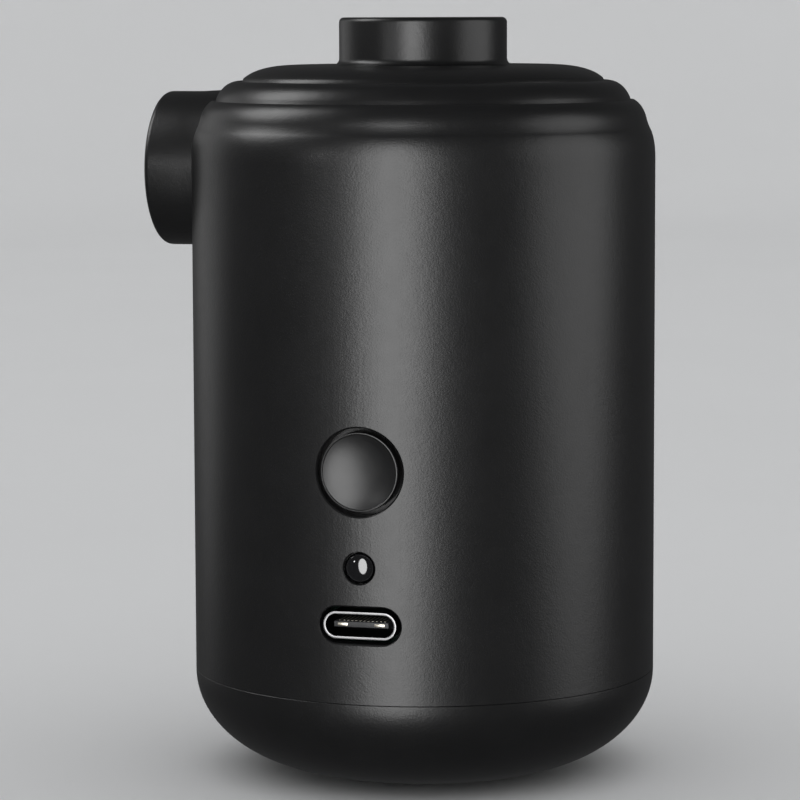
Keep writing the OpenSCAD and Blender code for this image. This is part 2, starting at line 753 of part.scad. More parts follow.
module battery_lead_black() {
    color([0.08, 0.08, 0.08]) tube([for (p = battery_route) [-p[0], p[1], p[2]]], lead_d);
}

main_housing();
bottom_cover();
foot_pad();
base_seal();
base_screws();
top_cover();
top_seal();
intake_grille();
intake_seal();
outlet_seal();
power_button();
indicator_lens();
fan_housing();
fan_cover();
fan_cover_screws();
fan_mount_screws();
impeller();
impeller_bush();
motor_can();
motor_end_cap();
motor_shaft();
motor_armature();
motor_windings();
motor_commutator();
motor_magnets();
motor_front_bush();
motor_rear_bush();
motor_brushes();
motor_terminals();
motor_gasket();
motor_screws();
motor_bracket();
bracket_screws();
chassis();
front_cell();
rear_cell();
cell_tabs();
main_board();
board_parts();
status_led();
switch_body();
switch_plunger();
socket_shell();
socket_tongue();
socket_contacts();
motor_lead_red();
motor_lead_black();
battery_lead_red();
battery_lead_black();
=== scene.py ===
# %% [markdown]
# # A pocket air mattress pump
#
# The pump is a round black case with an intake collar on top, an outlet spigot at its side, and a
# column of controls: a dished button, a lamp and a charging socket. This lesson turns the parts
# that show into smooth, finely rounded meshes, gives every part a finish, and lights the result.

# %% Load the frame
import json
import math
import bmesh
import bpy
from mathutils import Matrix, Vector


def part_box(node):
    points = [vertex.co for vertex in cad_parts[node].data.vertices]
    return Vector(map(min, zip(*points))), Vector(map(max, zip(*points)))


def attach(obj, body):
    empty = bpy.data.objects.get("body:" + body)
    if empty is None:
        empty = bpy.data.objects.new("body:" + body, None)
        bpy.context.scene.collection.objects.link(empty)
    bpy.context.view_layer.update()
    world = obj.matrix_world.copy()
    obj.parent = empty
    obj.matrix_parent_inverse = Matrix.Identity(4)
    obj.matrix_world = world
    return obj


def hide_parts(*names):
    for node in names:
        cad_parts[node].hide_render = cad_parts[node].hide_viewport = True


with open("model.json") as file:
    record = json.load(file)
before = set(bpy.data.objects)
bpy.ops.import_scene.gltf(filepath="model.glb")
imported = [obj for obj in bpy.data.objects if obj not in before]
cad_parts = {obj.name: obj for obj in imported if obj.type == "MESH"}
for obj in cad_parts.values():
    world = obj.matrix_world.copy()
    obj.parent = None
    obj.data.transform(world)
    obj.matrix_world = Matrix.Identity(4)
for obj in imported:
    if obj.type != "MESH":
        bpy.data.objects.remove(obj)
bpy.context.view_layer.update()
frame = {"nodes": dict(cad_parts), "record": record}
MM = 0.001

# %% [markdown]
# ## Sizes
#
# The frame knows where every part is, so the sizes that matter are read from it: the case's radius,
# the height of its seams, and the axis of each port and control. Only the depths of small steps and
# edge rounds are chosen here. They are in millimetres until a mesh is finished.

# %% Read the sizes from the frame
def reach(node, side):
    """A node's lowest (0) or highest (1) corner in millimetres."""
    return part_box(node)[side] / MM


def middle(node):
    return (reach(node, 0) + reach(node, 1)) / 2


mounts = {mount["name"]: mount for mount in frame["record"]["mounts"]}
CASE_R = reach("bottom_cover", 1).x
WALL = 2.0
SEAM_Z = reach("main_housing", 0).z
FOOT_R = reach("foot_pad", 1).x
PAD_Z = reach("foot_pad", 1).z
RIM_Z = reach("top_cover", 1).z
COLLAR_R = mounts["intake_collar"]["dims"]["r_mm"]
INTAKE_R = mounts["intake_bore"]["dims"]["r_mm"]
GRILLE_Z = reach("intake_grille", 1).z
SPIGOT_R = mounts["outlet_spigot"]["dims"]["r_mm"]
OUTLET_R = mounts["outlet_bore"]["dims"]["r_mm"]
OUTLET_Z = mounts["outlet_spigot"]["pos_m"][2] / MM
SPIGOT_X = -reach("main_housing", 0).x
BUTTON_Z = middle("power_button").z
LAMP_Z = middle("indicator_lens").z
SOCKET_Z = middle("socket_shell").z
print(f"case {2 * CASE_R:.1f} mm across, seam at {SEAM_Z:.1f} mm, rim at {RIM_Z:.1f} mm")
print(f"spigot {2 * SPIGOT_R:.1f} mm across at {OUTLET_Z:.1f} mm, reaching {SPIGOT_X:.1f} mm")
print(f"button at {BUTTON_Z:.1f} mm, lamp at {LAMP_Z:.1f} mm, socket at {SOCKET_Z:.1f} mm")

# %% [markdown]
# ## Outlines for turned parts
#
# A turned part is half of its section swept round an axis. The section is drawn as a few corner
# points, each with the radius of its rounding, because a moulded edge is never a knife edge and the
# small round is what catches the light. `rounded` swaps each corner for an arc that touches both of
# its sides. `swell` draws the soft convex steps of the shoulder as a quadratic curve.

# %% Draw outlines
ARC_STEPS = 5


def rounded(corners, steps=ARC_STEPS):
    """Points (r, z) from corners (r, z) or (r, z, radius), with an arc at each corner that has a radius."""
    points = []
    count = len(corners)
    for i, corner in enumerate(corners):
        here = Vector(corner[:2])
        if len(corner) < 3:
            points.append(here)
            continue
        before = Vector(corners[i - 1][:2]) - here
        after = Vector(corners[(i + 1) % count][:2]) - here
        half = before.angle(after) / 2
        if half > math.radians(88):
            points.append(here)
            continue
        room = min(before.length, after.length) * 0.48
        run = min(corner[2] / math.tan(half), room)
        start, end = here + before.normalized() * run, here + after.normalized() * run
        centre = here + (before.normalized() + after.normalized()).normalized() * run / math.cos(half)
        spoke, last = start - centre, end - centre
        for step in range(steps + 1):
            points.append(centre + spoke.slerp(last, step / steps).normalized() * spoke.length)
    return [(point.x, point.y) for point in points]


def swell(start, pull, end, steps=14):
    """Points of a quadratic curve from start to end, drawn towards pull."""
    start, pull, end = Vector(start), Vector(pull), Vector(end)
    return [tuple(start * (1 - t) ** 2 + pull * 2 * t * (1 - t) + end * t * t)
            for t in (step / steps for step in range(steps + 1))]


def bowl(centre_r, centre_z, across, deep, start, end, steps=28):
    """Points of an ellipse's arc, from angle start to angle end in degrees."""
    angles = (math.radians(start + (end - start) * step / steps) for step in range(steps + 1))
    return [(centre_r + across * math.cos(a), centre_z + deep * math.sin(a)) for a in angles]


# %% [markdown]
# ## From outline to mesh
#
# `turned_mesh` puts the outline's points in the X-Z plane, joins them and spins them round Z. An outline
# that reaches the axis closes at a pole. The result can be laid over, so that its axis points out of
# the spigot or out of the button. Finished objects stay at the origin, unturned, with their place in
# the mesh, so that a pattern on object coordinates sits still.

# %% Turn an outline into a mesh
ROUND_STEPS = 224
UPRIGHT = Matrix.Identity(4)
TO_SPIGOT = Matrix.Rotation(math.radians(-90), 4, "Y")
TO_FRONT = Matrix.Rotation(math.radians(90), 4, "X")
MERGE = 1e-6


def new_object(name, mesh_data):
    """Makes an object of a finished bmesh given in millimetres."""
    bmesh.ops.scale(mesh_data, vec=(MM, MM, MM), verts=mesh_data.verts)
    mesh = bpy.data.meshes.new(name)
    mesh_data.to_mesh(mesh)
    mesh_data.free()
    obj = bpy.data.objects.new(name, mesh)
    bpy.context.scene.collection.objects.link(obj)
    return obj


def turned_mesh(outline, steps=ROUND_STEPS, lay=UPRIGHT, closed=True):
    """A bmesh spun round Z from an outline of (r, z) points, then laid over by a matrix."""
    bm = bmesh.new()
    verts = [bm.verts.new((r, 0, z)) for r, z in outline]
    edges = [bm.edges.new(pair) for pair in zip(verts, verts[1:])]
    if closed:
        edges.append(bm.edges.new((verts[-1], verts[0])))
    bmesh.ops.spin(bm, geom=verts + edges, cent=(0, 0, 0), axis=(0, 0, 1), angle=math.tau,
                   steps=steps, use_merge=True, use_duplicate=False)
    bmesh.ops.remove_doubles(bm, verts=bm.verts, dist=MERGE)
    bmesh.ops.dissolve_degenerate(bm, dist=MERGE, edges=bm.edges)
    loose = [edge for edge in bm.edges if not edge.link_faces]
    bmesh.ops.delete(bm, geom=loose, context="EDGES")
    bmesh.ops.recalc_face_normals(bm, faces=bm.faces)
    bmesh.ops.transform(bm, matrix=lay, verts=bm.verts)
    return bm


def smooth(obj, angle=32):
    """Shades the object smooth, with a sharp edge wherever two faces meet at more than the angle."""
    obj.data.shade_smooth()
    obj.data.set_sharp_from_angle(angle=math.radians(angle))
    return obj


# %% [markdown]
# ## Cutting and joining
#
# Holes go through a curved wall, so they are cut with solids. A cutter for a round hole is turned
# like any other part, with a flare where it leaves the wall, and is then bent to the case: each
# point moves in by as much as the round wall falls away there. The flare then leaves the same soft
# edge all round the hole.

# %% Cut and join solids
def bend_to_case(bm):
    """Moves each point of a cutter that faces the front in by the wall's fall at its distance across."""
    for vert in bm.verts:
        across = min(abs(vert.co.x), CASE_R)
        vert.co.y += CASE_R - math.sqrt(CASE_R ** 2 - across ** 2)
    return bm


def add_bmesh(target, source):
    """Adds one bmesh to another."""
    carrier = bpy.data.meshes.new("carrier")
    source.to_mesh(carrier)
    source.free()
    target.from_mesh(carrier)
    bpy.data.meshes.remove(carrier)


def combine(obj, tool, operation):
    """Applies a Boolean of two solids and removes the tool."""
    modifier = obj.modifiers.new("combine", "BOOLEAN")
    modifier.operation = operation
    modifier.solver = "EXACT"
    modifier.object = tool
    graph = bpy.context.evaluated_depsgraph_get()
    shaped = bpy.data.meshes.new_from_object(obj.evaluated_get(graph))
    obj.modifiers.clear()
    bm = bmesh.new()
    bm.from_mesh(shaped)
    bmesh.ops.dissolve_degenerate(bm, dist=MERGE * MM, edges=bm.edges)
    bm.to_mesh(shaped)
    bm.free()
    obj.data = shaped
    bpy.data.objects.remove(tool)
    return obj


def stadium_solid(width, height, z, levels):
    """A closed bar with round ends, along -Y, through levels of (growth, y): it grows by growth at y."""
    bm = bmesh.new()
    straight = (width - height) / 2
    rings = []
    for growth, y in levels:
        made = bmesh.ops.create_circle(bm, segments=48, radius=height / 2 + growth)["verts"]
        bmesh.ops.rotate(bm, verts=made, matrix=TO_FRONT.to_3x3())
        for vert in made:
            if abs(vert.co.x) > MERGE:
                vert.co.x += math.copysign(straight, vert.co.x)
        bmesh.ops.translate(bm, verts=made, vec=(0, y, z))
        rings.append(list({edge for vert in made for edge in vert.link_edges}))
    for low, high in zip(rings, rings[1:]):
        bmesh.ops.bridge_loops(bm, edges=low + high)
    for end in (rings[0], rings[-1]):
        bmesh.ops.edgeloop_fill(bm, edges=end)
    bmesh.ops.recalc_face_normals(bm, faces=bm.faces)
    return bm


# %% [markdown]
# ## The case
#
# The case is one moulding with a 2 mm wall. Three soft steps climb its shoulder, divided by fine
# grooves, and the spigot grows out of its side. The outline below goes up the outside, over the
# ledge that carries the top cover, and down the inside. The spigot is a second turned solid on its
# own axis, joined to the first before the holes are cut.

# %% Model the case
bore_r = CASE_R - WALL
LOW_GROOVE = (CASE_R - 1.1, 80.35)
MID_GROOVE = (CASE_R - 3, 82.45, 0.12)
LIP_R = 22.45
LEDGE_R, LEDGE_Z = 20.5, 83.5
ROOF_Z = 82.6
shoulder = [
    (CASE_R - 0.05, SEAM_Z), (CASE_R, SEAM_Z + 0.05),
    *swell((CASE_R, 75.5), (CASE_R, 77.7), (CASE_R - 0.6, 79)),
    *swell((CASE_R - 0.6, 79), (CASE_R - 0.9, 79.55), LOW_GROOVE)[1:],
    *swell(LOW_GROOVE, (CASE_R - 1.5, 81.95), (CASE_R - 2.6, 82.6))[1:],
    MID_GROOVE,
    *swell((CASE_R - 3.15, 82.95), (CASE_R - 3.95, 84.75), (22.9, 84.98)),
]
ledge = [
    (22.6, 84.85, 0.1), (LIP_R, 84.4, 0.1), (LIP_R, LEDGE_Z), (LEDGE_R, LEDGE_Z), (LEDGE_R, ROOF_Z),
    *swell((23.4, ROOF_Z), (bore_r, 80.5), (bore_r, 76)), (bore_r, SEAM_Z),
]
case = new_object("case", turned_mesh(rounded(shoulder + ledge)))
SPIGOT_ROOT = 24.0
ROOT_FLARE = 0.25
SPIGOT_STEPS = 128
spigot_outline = rounded([(0, SPIGOT_ROOT), (SPIGOT_R + ROOT_FLARE, SPIGOT_ROOT),
                          (SPIGOT_R, CASE_R + 0.05), (SPIGOT_R, SPIGOT_X, 0.7), (0, SPIGOT_X)])
lift_to_outlet = Matrix.Translation((0, 0, OUTLET_Z)) @ TO_SPIGOT
spigot = new_object("spigot", turned_mesh(spigot_outline, SPIGOT_STEPS, lift_to_outlet, closed=False))
combine(case, spigot, "UNION")
print("case with its spigot:", len(case.data.polygons), "faces")

# %% [markdown]
# The duct through the spigot has a step, a stop for anything pushed into it, and a soft mouth. The
# button's hole has a wide chamfer that reads as a dark ring, and the lamp's hole a fine one.

#
# All the cutters stand apart from each other, so they are gathered and cut at once: a case that is
# cut again and again ends with cracks where its flat faces are split anew.

# %% Shape the cutters for the duct and the round holes
OUT = 3.0
cutters = bmesh.new()
DUCT_IN, DUCT_STEP, DUCT_NECK_R = 21, 26, 7
MOUTH = 0.5
duct_outline = rounded([(0, DUCT_IN), (DUCT_NECK_R, DUCT_IN), (DUCT_NECK_R, DUCT_STEP),
                        (OUTLET_R, DUCT_STEP), (OUTLET_R, SPIGOT_X - 0.35, 0.3),
                        (OUTLET_R + MOUTH, SPIGOT_X + 0.15), (OUTLET_R + MOUTH, SPIGOT_X + OUT),
                        (0, SPIGOT_X + OUT)])
add_bmesh(cutters, turned_mesh(duct_outline, 112, lift_to_outlet, closed=False))


CUT_FROM = 20


def round_hole(z, radius, chamfer):
    """A cutter for a round hole through the front of the case, with a rounded chamfer."""
    outline = rounded([(0, CUT_FROM), (radius, CUT_FROM), (radius, CASE_R - chamfer, chamfer * 0.5),
                       (radius + chamfer, CASE_R + 0.02, chamfer * 0.3),
                       (radius + chamfer * 1.3, CASE_R + OUT), (0, CASE_R + OUT)])
    lay = Matrix.Translation((0, 0, z)) @ TO_FRONT
    return bend_to_case(turned_mesh(outline, 96, lay, closed=False))


button_r = (reach("power_button", 1).z - reach("power_button", 0).z) / 2
CAP_R = 4.7
BUTTON_GAP, BUTTON_CHAMFER = 0.5, 0.22
LAMP_R = 1.8
LAMP_GAP, LAMP_CHAMFER = 0.12, 0.12
add_bmesh(cutters, round_hole(BUTTON_Z, CAP_R + BUTTON_GAP, BUTTON_CHAMFER))
add_bmesh(cutters, round_hole(LAMP_Z, LAMP_R + LAMP_GAP, LAMP_CHAMFER))
print("button flange", round(2 * button_r, 1), "mm across behind its", 2 * CAP_R, "mm cap")

# %% [markdown]
# The slot is a bar with round ends, a little larger than the socket's shell, so that a thin dark gap
# shows all round it. Its rings are bridged into a solid. The real one is a core in the mould, which
# leaves the same eased edge. All the cutters then go through the case together.

# %% Shape the cutter for the socket's slot, and cut
shell_size = reach("socket_shell", 1) - reach("socket_shell", 0)
SLOT_W = shell_size.x + 0.9
SLOT_H = shell_size.z + 1.1
SLOT_EDGE = 0.22
slot_levels = [(0, -CUT_FROM), (0, -CASE_R + SLOT_EDGE), (SLOT_EDGE * 0.3, -CASE_R + SLOT_EDGE * 0.4),
               (SLOT_EDGE, -CASE_R - 0.02), (SLOT_EDGE * 1.4, -CASE_R - OUT)]
add_bmesh(cutters, bend_to_case(stadium_solid(SLOT_W, SLOT_H, SOCKET_Z, slot_levels)))
combine(case, new_object("cutters", cutters), "DIFFERENCE")
smooth(case)
print("finished case:", len(case.data.polygons), "faces")

# %% [markdown]
# ## Bottom cover, top cover and foot pad
#
# These are plain turned parts. The bottom cover's corner is a wide quarter ellipse, so the pump
# seems to float on its small foot. The top cover's plate falls away towards its rim and rises into
# the collar through a small fillet. The pad has three fine rings that grip.

# %% Model the covers and the pad
FLAT_R = FOOT_R - 0.1
PROUD = 0.3
bottom_outline = [
    (0, PAD_Z), (FOOT_R + 0.1, PAD_Z), (FOOT_R + 0.1, PROUD + 0.1, 0.08),
    *bowl(FLAT_R, SEAM_Z - 0.25, CASE_R - FLAT_R, SEAM_Z - 0.25 - PROUD, -87, 0),
    (CASE_R, SEAM_Z - 0.07), (CASE_R - 0.05, SEAM_Z - 0.02), (bore_r - 0.1, SEAM_Z - 0.02),
    (bore_r - 0.1, SEAM_Z + 3),
    (bore_r - 1.7, SEAM_Z + 3),
    *bowl(FLAT_R - 1, SEAM_Z - 1, bore_r - 0.7 - FLAT_R, 9, 0, -90, 20), (0, SEAM_Z - 10),
]
bottom = smooth(new_object("bottom_shell", turned_mesh(rounded(bottom_outline), closed=False)))
TOP_Z = 86.9
SKIRT_R, RIB_R, BOSS_R, BOSS_Z = 22.33, 20.4, 11.7, 83
GUARD_R = 8.2
top_outline = [
    (GUARD_R, GRILLE_Z), (INTAKE_R, GRILLE_Z), (INTAKE_R, RIM_Z, 0.35), (COLLAR_R, RIM_Z, 0.6),
    (COLLAR_R, TOP_Z, 0.8), *swell((16.5, TOP_Z), (20.4, TOP_Z - 0.15), (22.05, 85.3)),
    (22.2, 84.9, 0.1), (SKIRT_R, 84.4, 0.1), (SKIRT_R, 83.9), (RIB_R, 83.9), (RIB_R, 82.9), (19, 82.9),
    (19, 84.9), (BOSS_R, 85.2), (BOSS_R, BOSS_Z), (GUARD_R, BOSS_Z),
]
top = smooth(new_object("top_shell", turned_mesh(rounded(top_outline))))
pad_outline = [(0, 0)]
GRIP_RINGS = (4, 7.5, 11)
GRIP_DEEP, GRIP_FOOT, GRIP_TOP = 0.25, 0.35, 0.2
for ring_r in GRIP_RINGS:
    pad_outline += [(ring_r - GRIP_FOOT, 0, 0.1), (ring_r - GRIP_TOP, GRIP_DEEP, 0.08),
                    (ring_r + GRIP_TOP, GRIP_DEEP, 0.08), (ring_r + GRIP_FOOT, 0, 0.1)]
pad_outline += [(FOOT_R, 0, 0.3), (FOOT_R, PAD_Z), (0, PAD_Z)]
pad = smooth(new_object("grip_pad", turned_mesh(rounded(pad_outline, 3), 160, closed=False)))
print("top cover", len(top.data.polygons), "faces; bottom cover", len(bottom.data.polygons), "faces")

# %% [markdown]
# ## Intake grille
#
# The finger guard is three rings and six spokes inside the collar. Each ring is turned from a round
# edged section. The spokes are cubes, drawn out, bevelled and turned round the axis, and then joined
# to the rings, so the guard is one closed solid.

# %% Model the grille
grille_low = reach("intake_grille", 0).z
grille_h = GRILLE_Z - grille_low
EDGE = 0.18
rings = bmesh.new()
spokes = bmesh.new()


def bar_mesh(size, centre, ease, segments=2):
    """A bmesh of a bar of the given size, with every edge rounded by ease."""
    bm = bmesh.new()
    bmesh.ops.create_cube(bm, size=1)
    bmesh.ops.scale(bm, vec=size, verts=bm.verts)
    bmesh.ops.bevel(bm, geom=bm.edges, offset=ease, segments=segments, profile=0.5, affect="EDGES",
                    material=-1)
    bmesh.ops.translate(bm, vec=centre, verts=bm.verts)
    return bm


GUARD_RINGS = ((7.3, 8.19), (4.45, 5.35), (1.85, 2.75))
SPOKES = 6
SPOKE_LONG, SPOKE_WIDE, SPOKE_OUT = 5.2, 0.86, 5
for inner, outer in GUARD_RINGS:
    section = [(inner, grille_low, EDGE), (outer, grille_low, EDGE), (outer, GRILLE_Z - 0.02, EDGE),
               (inner, GRILLE_Z - 0.02, EDGE)]
    add_bmesh(rings, turned_mesh(rounded(section, 3), 96))
for spoke in range(SPOKES):
    bar = bar_mesh((SPOKE_LONG, SPOKE_WIDE, grille_h - 0.1),
                   (SPOKE_OUT, 0, grille_low + grille_h / 2), EDGE)
    bmesh.ops.rotate(bar, verts=bar.verts, matrix=Matrix.Rotation(math.tau * spoke / SPOKES, 3, "Z"))
    add_bmesh(spokes, bar)
guard = combine(new_object("finger_guard", rings), new_object("spokes", spokes), "UNION")
smooth(guard)
print("finger guard", len(guard.data.polygons), "faces")

# %% [markdown]
# ## Button and lamp
#
# The button's face is dished for a fingertip, with a fine raised rim that catches the light. Behind
# it are the flange that keeps it in the case and the stem that meets the switch. The lamp's lens is
# a small dome on a flanged light pipe.

# %% Model the button and the lens
cap_y = -reach("power_button", 0).y
DISH = 0.8
FLANGE_R, FLANGE_FRONT, FLANGE_BACK = 6.2, 25.5, 24.7
STEM_R, STEM_END = 1.5, 24.2
button_outline = [
    *swell((0, cap_y - DISH), (2.6, cap_y - 0.78), (CAP_R - 0.3, cap_y - 0.14)),
    (CAP_R - 0.19, cap_y, 0.07), (CAP_R, cap_y - 0.02, 0.14),
    (CAP_R, FLANGE_FRONT), (FLANGE_R, FLANGE_FRONT), (FLANGE_R, FLANGE_BACK), (STEM_R, FLANGE_BACK),
    (STEM_R, STEM_END), (0, STEM_END),
]
button_lay = Matrix.Translation((0, 0, BUTTON_Z)) @ TO_FRONT
button = smooth(new_object("button_cap", turned_mesh(rounded(button_outline), 128, button_lay,
                                                     closed=False)))
lens_y = -reach("indicator_lens", 0).y
PIPE_R, PIPE_END = 1.2, 22.6
LENS_FLANGE_R, LENS_FLANGE_BACK = 2.6, 25.5
DOME = 0.8
lens_outline = [
    (0, PIPE_END), (PIPE_R, PIPE_END), (PIPE_R, LENS_FLANGE_BACK), (LENS_FLANGE_R, LENS_FLANGE_BACK),
    (LENS_FLANGE_R, bore_r - 0.25), (LAMP_R, bore_r - 0.25),
    *bowl(0, lens_y - DOME, LAMP_R, DOME, 0, 90, 14),
]
lens_lay = Matrix.Translation((0, 0, LAMP_Z)) @ TO_FRONT
lens = smooth(new_object("lamp_lens", turned_mesh(rounded(lens_outline), 80, lens_lay, closed=False)))
print("button", len(button.data.polygons), "faces; lens", len(lens.data.polygons), "faces")

# %% [markdown]
# ## Charging socket
#
# The socket is a drawn steel shell, a stadium in section, whose flat front edge has its corners
# eased. It is built from rings: the outside forwards, round the edge, and back along the inside to
# its closed back. The tongue inside is a bevelled bar.

# %% Model the socket
shell_front = reach("socket_shell", 0).y
shell_back = reach("socket_shell", 1).y
SHELL_T = 0.3
SHELL_LIP = 0.6
EASE = 0.04
ease = [(0, EASE), (-EASE * 0.3, EASE * 0.3), (-EASE, 0)]
edge = [(grow, shell_front + back) for grow, back in ease]
edge += [(-SHELL_T - grow, y) for grow, y in reversed(edge)]
shell_levels = [(0, shell_back), (0, shell_front + SHELL_LIP), *edge,
                (-SHELL_T, shell_front + SHELL_LIP), (-SHELL_T, shell_back - SHELL_LIP)]
socket = new_object("socket_can", stadium_solid(shell_size.x, shell_size.z, SOCKET_Z, shell_levels))
smooth(socket, 40)
TONGUE_T = 0.7
tongue_front = reach("socket_tongue", 0).y
tongue_w = reach("socket_tongue", 1).x - reach("socket_tongue", 0).x
tongue_len = shell_back - SHELL_LIP - tongue_front
tongue_middle = (0, tongue_front + tongue_len / 2, SOCKET_Z)
tongue = bar_mesh((tongue_w, tongue_len, TONGUE_T), tongue_middle, 0.1, 3)
tongue_piece = smooth(new_object("socket_blade", tongue))
print("socket can", len(socket.data.polygons), "faces; blade", round(tongue_w, 1), "mm wide")

# %% [markdown]
# The tongue's contacts are thin bevelled strips, twelve on each face at a half millimetre pitch, as
# stamped from one sheet. Two small plates on its front stand for the bright marks there.

# %% Model the contacts
CONTACTS = 12
PITCH = 0.5
PLATE_OUT = 2.25
PLATE_W, PLATE_H = 1.24, 0.3
CONTACT = Vector((0.24, 3, 0.06))
contact_y = reach("socket_contacts", 1).y - CONTACT.y / 2
contacts = bmesh.new()
for face in (-1, 1):
    for place_no in range(CONTACTS):
        across = (place_no - (CONTACTS - 1) / 2) * PITCH
        spot = (across, contact_y, SOCKET_Z + face * (TONGUE_T + CONTACT.z) / 2)
        add_bmesh(contacts, bar_mesh(CONTACT, spot, 0.015, 1))
plate_y = reach("socket_contacts", 0).y + CONTACT.z / 2
for side in (-1, 1):
    spot = (side * PLATE_OUT, plate_y, SOCKET_Z)
    add_bmesh(contacts, bar_mesh((PLATE_W, CONTACT.z, PLATE_H), spot, 0.02, 2))
contact_piece = smooth(new_object("socket_pins", contacts))
print("contacts", len(contact_piece.data.polygons), "faces")

# %% [markdown]
# ## Finishes
#
# Each finish is a small node tree on object coordinates, which are in metres. `finish` makes the
# material and its shader, and `bump` adds a fine texture of heights. `vary_colour` and `vary_gloss`
# break up a colour and a gloss with slow noise, as handling and moulding do. Numbers that
# are the same all over sit on the shader's own sockets.

# %% Build the finish tools
def finish(name, colour, rough, metal=0.0, **sockets):
    """A new material with its shader set, and the tools to add to it."""
    material = bpy.data.materials.new(name)
    material.use_nodes = True
    tree = material.node_tree
    shader = tree.nodes["Principled BSDF"]
    shader.inputs["Base Color"].default_value = (*colour, 1)
    shader.inputs["Roughness"].default_value = rough
    shader.inputs["Metallic"].default_value = metal
    for socket_name, value in sockets.items():
        shader.inputs[socket_name.replace("_", " ")].default_value = value
    return material, tree, shader


def place(tree, stretch=(1, 1, 1)):
    """Object coordinates, stretched."""
    coordinates = tree.nodes.new("ShaderNodeTexCoord")
    mapping = tree.nodes.new("ShaderNodeMapping")
    mapping.inputs["Scale"].default_value = stretch
    tree.links.new(coordinates.outputs["Object"], mapping.inputs["Vector"])
    return mapping.outputs["Vector"]


def noise(tree, size_mm, detail=2.0, stretch=(1, 1, 1)):
    """Noise whose blobs are about size_mm across."""
    node = tree.nodes.new("ShaderNodeTexNoise")
    node.inputs["Scale"].default_value = 1 / (size_mm * MM)
    node.inputs["Detail"].default_value = detail
    tree.links.new(place(tree, stretch), node.inputs["Vector"])
    return node.outputs["Fac"]


def ramp(tree, source, low, high, low_value, high_value):
    """Maps source from low..high to low_value..high_value."""
    node = tree.nodes.new("ShaderNodeMapRange")
    node.inputs["From Min"].default_value = low
    node.inputs["From Max"].default_value = high
    node.inputs["To Min"].default_value = low_value
    node.inputs["To Max"].default_value = high_value
    tree.links.new(source, node.inputs["Value"])
    return node.outputs["Result"]


def bump(tree, shader, heights, strength=1.0):
    """Bump from a list of (height output, depth in millimetres), chained."""
    normal = None
    for height, depth_mm in heights:
        node = tree.nodes.new("ShaderNodeBump")
        node.inputs["Strength"].default_value = strength
        node.inputs["Distance"].default_value = depth_mm * MM
        tree.links.new(height, node.inputs["Height"])
        if normal:
            tree.links.new(normal, node.inputs["Normal"])
        normal = node.outputs["Normal"]
    tree.links.new(normal, shader.inputs["Normal"])


def vary_colour(tree, shader, source, low_colour, high_colour, low=0.35, high=0.65):
    """Mixes two colours by a noise."""
    mix = tree.nodes.new("ShaderNodeMix")
    mix.data_type = "RGBA"
    mix.inputs["A"].default_value = (*low_colour, 1)
    mix.inputs["B"].default_value = (*high_colour, 1)
    tree.links.new(ramp(tree, source, low, high, 0, 1), mix.inputs["Factor"])
    tree.links.new(mix.outputs["Result"], shader.inputs["Base Color"])


def vary_gloss(tree, shader, source, low_rough, high_rough, low=0.3, high=0.7):
    """Varies the roughness by a noise."""
    tree.links.new(ramp(tree, source, low, high, low_rough, high_rough), shader.inputs["Roughness"])


def tint(colour, factor):
    return tuple(min(1, part * factor) for part in colour)


# %% [markdown]
# ### Moulded plastics
#
# The case's plastic is black with a fine spark-eroded grain, a fraction of a millimetre across,
# which turns every reflection into a soft band. The parts inside are plain mouldings with a faint
# flow pattern.

# %% Mix the plastics
def moulded(name, colour, rough, grain_mm=0.3, depth_mm=0.006, spread=0.06, mottle=0.15):
    """Moulded plastic with a fine grain, slow colour drift and uneven gloss."""
    material, tree, shader = finish(name, colour, rough, IOR=1.5)
    fine = noise(tree, grain_mm, 3)
    slow = noise(tree, grain_mm * 40, 4)
    bump(tree, shader, [(fine, depth_mm), (noise(tree, grain_mm * 4, 2), depth_mm * 0.8)])
    vary_colour(tree, shader, slow, tint(colour, 1 - mottle), tint(colour, 1 + mottle))
    vary_gloss(tree, shader, noise(tree, grain_mm * 9, 5), rough - spread, rough + spread)
    return material


case_finish = moulded("case_plastic", (0.0045, 0.0045, 0.0047), 0.34, 0.2, 0.014, 0.012, 0.1)
button_finish = moulded("button_plastic", (0.0045, 0.0045, 0.0047), 0.33, 0.16, 0.004, 0.015, 0.1)
grille_finish = moulded("grille_plastic", (0.005, 0.005, 0.0053), 0.45, 0.25, 0.006, 0.02, 0.1)
frame_finish = moulded("frame_plastic", (0.03, 0.03, 0.032), 0.5, 0.6, 0.01)
white_finish = moulded("casing_plastic", (0.6, 0.6, 0.585), 0.42, 1.2, 0.006, mottle=0.04)
ivory_finish = moulded("wheel_plastic", (0.74, 0.72, 0.66), 0.38, 1.0, 0.005, mottle=0.04)
chip_finish = moulded("chip_resin", (0.02, 0.02, 0.022), 0.55, 0.15, 0.008)
print("plastics mixed")

# %% [markdown]
# ### Lens, rubbers and wraps
#
# The lens is smoked plastic, so dark that only its gloss shows. Rubber is matt with a dusty bloom.
# Foam has open cells, made with Voronoi bump. Wire insulation and the cells' shrink wrap are glossy
# with a slight orange peel.

# %% Mix the lens, rubbers and wraps
def glossy(name, colour, rough, peel_mm=1.5, depth_mm=0.004, ior=1.5):
    """Glossy plastic with a slight orange peel."""
    material, tree, shader = finish(name, colour, rough, IOR=ior)
    bump(tree, shader, [(noise(tree, peel_mm, 2), depth_mm)])
    vary_gloss(tree, shader, noise(tree, peel_mm * 3, 4), rough * 0.7, rough * 1.4)
    vary_colour(tree, shader, noise(tree, peel_mm * 6, 2), tint(colour, 0.9), tint(colour, 1.1))
    return material


